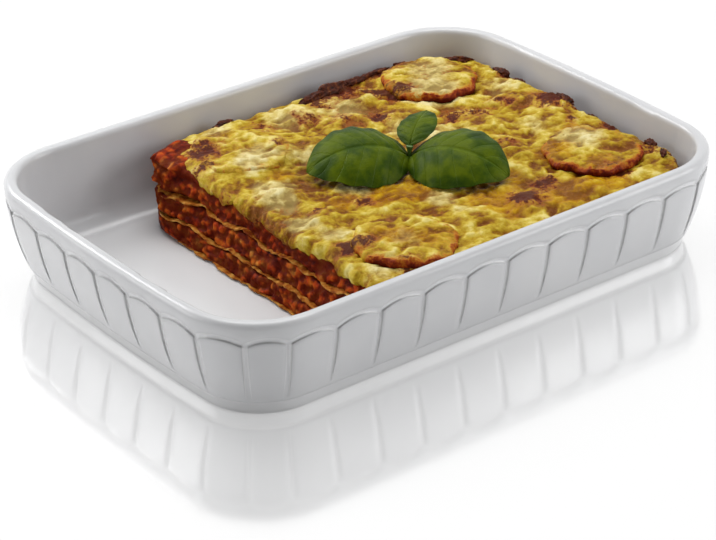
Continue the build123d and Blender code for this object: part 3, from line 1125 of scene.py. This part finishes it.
def make_pasta_sheet(node, name, wave_rise):
    """One sheet of pasta that follows its CAD solid; without a wave it lies flat."""
    low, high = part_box(node)
    middle = (low.z + high.z) / 2
    side_inset = food_side - high.y + 0.4 * mm

    def inside(x, y):
        """How far inside the sheet's outline a place is."""
        overhang = 0.1 * mm + 2.6 * mm * cloud(x, y, middle * 9, 10 * mm, 3) + slump(y, middle)
        from_cut = depth_inside(x, y, cut_x(middle) - overhang) - 0.4 * mm
        return min(from_cut, depth_inside(x, y, no_cut) - side_inset)

    sheet = lay_grid(name, pasta_spacing, inside)
    points = points_of(sheet)
    for index, (x, y, _) in enumerate(points):
        slow = wave_rise * math.sin(math.tau * y / wave_length)
        near_cut = fall_off(x - cut_x(middle), 12 * mm) if wave_rise else 0
        quick = 2.2 * mm * cloud(x, y, middle * 5, 12 * mm, 3) * near_cut
        points[index, 2] = middle + pasta_thickness / 2 + slow + quick
    set_points(sheet, points)
    apply_modifier(sheet, "SOLIDIFY", thickness=edge_thickness, offset=-1)
    return sheet


print("Pasta edges are", round(edge_thickness / mm, 2), "mm thick")

# %% [markdown]
# ## The finish of the pasta
# Pasta baked in sauce is amber and stained red in places. Light passing through it would hardly
# show on edges this thin, so a noise and one ramp of colours are enough.

# %% Pasta finish
def make_pasta():
    """Cooked pasta, stained by the sauce."""
    material, shader, place = new_material("cooked_pasta")
    stain = add_noise(material, place, 5 * mm, detail=4, roughness=0.65)
    sauce, amber = (0.17, 0.030, 0.004), (0.40, 0.125, 0.014)
    base = add_ramp(material, stain, [(0.38, sauce), (0.5, amber), (0.66, (0.64, 0.33, 0.07))])
    set_finish(material, shader, base, 0.4, 0.06)
    add_bump(material, shader, stain, 0.4 * mm, 0.5)
    return material


pasta_finish = make_pasta()
for level, rise in (("bottom", 0), ("lower", 1.2 * mm), ("upper", 1.2 * mm)):
    piece = make_pasta_sheet("pasta_sheet_" + level, "pasta_" + level, rise)
    finish_piece(piece, ["pasta_sheet_" + level], "lasagna", pasta_finish, angle=40)

# %% [markdown]
# ## The basil sprig
# Two large leaves and one small one grow from a short stalk. A basil leaf is cupped: its middle
# stands up, its edges turn down, the midrib is a groove, and the blade swells between the side
# veins. Modelling each vein by hand takes long and rarely looks alive, so a grid is bent by a few
# sums. Its own length and width are carried on the mesh, so that the veins in the material follow.

# %% Leaf shape
sprig_x, sprig_y = (sum(v) / 2 for v in zip(*[corner[:2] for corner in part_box("basil_stem")]))
leaf_edge = [(0, 0), (0.07, 0.17), (0.22, 0.4), (0.43, 0.5), (0.66, 0.41), (0.87, 0.2), (1, 0)]
leaf_thickness = 0.5 * mm
leaf_clearance = 0.6 * mm
vein_count = 6.5
vein_slant = 1.3
# These three are shares of the leaf's width
rib_depth = 0.025
vein_swell = 0.012
frill_rise = 0.012


def leaf_half_width(along):
    """Half the leaf's width, as a share of its full width, at a share of its length."""
    shares = np.array(leaf_edge)
    fine = np.interp(along, shares[:, 0], shares[:, 1])
    smooth = 0.5 * math.sin(math.pi * along**0.9) ** 0.55
    return 0.25 * fine + 0.75 * smooth


def leaf_point(along, across, long, wide, rise):
    """Where a point of the cupped leaf is, from its shares along and across the blade."""
    ball = (long**2 / 4 + rise**2) / (2 * rise)
    x = along * long
    half = wide * max(leaf_half_width(along), 0.004)
    y = across * half
    away = abs(across)
    cap = math.sqrt(max(ball**2 - (x - long / 2) ** 2 - y**2, 0)) - (ball - rise)
    rib = -rib_depth * wide * math.exp(-away * 9) * (1 - along) ** 0.5
    vein = abs(math.sin(math.pi * (along * vein_count - away * vein_slant)))
    swell = vein_swell * wide * (vein - 0.5) * min(away * 2.5, 1) * (1 - away**3)
    frill = frill_rise * wide * math.sin(math.tau * along * 5 + (2 if across > 0 else 0)) * away**4
    return x, y, cap + rib + swell + frill


def make_leaf(node, name, long, wide, rise, roll, tilt, heading):
    """One leaf, turned into its place on the stalk and set just above the cheese."""
    deselect()
    bpy.ops.mesh.primitive_grid_add(x_subdivisions=96, y_subdivisions=64, size=2)
    leaf = bpy.context.object
    leaf.name = name
    flat = points_of(leaf)
    along, across = (flat[:, 0] + 1) / 2, flat[:, 1]
    carry(leaf, "along", along)
    carry(leaf, "across", across)
    turn = Euler((0, 0, math.radians(heading))).to_matrix()
    turn = turn @ Euler((0, -math.radians(tilt), 0)).to_matrix()
    turn = turn @ Euler((math.radians(roll), 0, 0)).to_matrix()
    bent = np.array([leaf_point(*shares, long, wide, rise) for shares in zip(along, across)])
    points = bent @ np.array(turn).T
    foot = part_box(node)[0].z
    points += (sprig_x, sprig_y, foot - points[:, 2].min() + leaf_clearance)
    set_points(leaf, points)
    merge_points(leaf, 0.05 * mm)
    apply_modifier(leaf, "SOLIDIFY", thickness=leaf_thickness, offset=-1)
    return leaf


print("The sprig grows at", [round(v / mm, 1) for v in (sprig_x, sprig_y)], "mm")

# %% [markdown]
# ## The finish of the basil
# Basil is deep green, a little paler along its veins, with a waxy gloss. The veins could be a drawn
# image, but the sums that swell the blade can also draw them, from the leaf's own length and width,
# and then the pale lines lie exactly in the grooves.

# %% Leaf finish
def make_basil():
    """Fresh basil: deep green, lighter along the veins, with a waxy gloss."""
    material, shader, place = new_material("basil_leaf")
    along = add_attribute(material, "along")
    away = add_math(material, "ABSOLUTE", add_attribute(material, "across"))
    vein = add_sum(material, (along, vein_count), (away, -vein_slant))
    vein = add_math(material, "SINE", add_math(material, "MULTIPLY", vein, math.pi))
    vein = add_ramp(material, add_math(material, "ABSOLUTE", vein), [(0.0, 1), (0.16, 0)])
    rib = add_ramp(material, away, [(0.02, 1), (0.07, 0)])
    lines = add_math(material, "MAXIMUM", vein, rib)
    middle = add_ramp(material, away, [(0.0, 0.12), (0.9, -0.12)])
    tone = add_sum(material, add_noise(material, place, 12 * mm, detail=3), middle)
    deep, green = (0.018, 0.042, 0.001), (0.038, 0.072, 0.001)
    base = add_ramp(material, tone, [(0.35, deep), (0.5, green), (0.68, (0.09, 0.13, 0.001))])
    pale = add_math(material, "MULTIPLY", lines, 0.12)
    base = add_mix(material, pale, base, (0.07, 0.13, 0.012))
    set_finish(material, shader, base, 0.42, 0.06)
    relief = add_sum(material, add_noise(material, place, 1.2 * mm, detail=3), (lines, -0.8))
    add_bump(material, shader, relief, 0.35 * mm, 0.7)
    return material


basil_finish = make_basil()
# Length, width and rise, then roll, tilt and heading in degrees
leaves = {
    "left": (60 * mm, 50 * mm, 14 * mm, -18, 0, 160),
    "right": (60 * mm, 50 * mm, 14 * mm, 18, 0, -64),
    "top": (33 * mm, 23 * mm, 4 * mm, -8, 12, 33),
}
for side, sizes in leaves.items():
    piece = make_leaf("basil_leaf_" + side, "leaf_" + side, *sizes)
    finish_piece(piece, ["basil_leaf_" + side], "basil_sprig", basil_finish)

# %% [markdown]
# ## The stalk
# The leaves join at a short soft stalk, thick at both ends and thin between. A curve would do too,
# but a cylinder has the CAD's size at once, and a voxel remesh gives it even points to draw in.

# %% Stalk
def make_stalk():
    """The short stalk that holds the leaves, thick where they join it."""
    low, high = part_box("basil_stem")
    middle = (low + high) / 2
    deselect()
    bpy.ops.mesh.primitive_cylinder_add(
        vertices=24, radius=(high.x - low.x) / 2, depth=high.z - low.z, location=middle
    )
    stalk = bpy.context.object
    stalk.name = "basil_stalk"
    bpy.ops.object.transform_apply(location=True, rotation=True, scale=True)
    apply_modifier(stalk, "REMESH", mode="VOXEL", voxel_size=0.5 * mm)
    points = points_of(stalk)
    for index, (x, y, z) in enumerate(points):
        level = (z - low.z) / (high.z - low.z)
        shrink = 0.75 + 0.25 * math.cos(math.tau * level) + 0.08 * cloud(x, y, z, 3 * mm)
        points[index] = (middle.x + (x - middle.x) * shrink, middle.y + (y - middle.y) * shrink, z)
    set_points(stalk, points)
    return stalk


def make_stalk_finish():
    """Pale green stalk."""
    material, shader, place = new_material("basil_stalk")
    tone = add_noise(material, place, 3 * mm)
    base = add_ramp(material, tone, [(0.3, (0.06, 0.13, 0.02)), (0.7, (0.14, 0.24, 0.05))])
    set_inputs(material, shader, {"Base Color": base, "Roughness": 0.45})
    add_bump(material, shader, tone, 0.3 * mm, 0.5)
    return material


finish_piece(make_stalk(), ["basil_stem"], "basil_sprig", make_stalk_finish())

# %% [markdown]
# ## Finish
# The view layer is updated once more, so that every piece stands where it was put.

# %% Finish
bpy.context.view_layer.update()
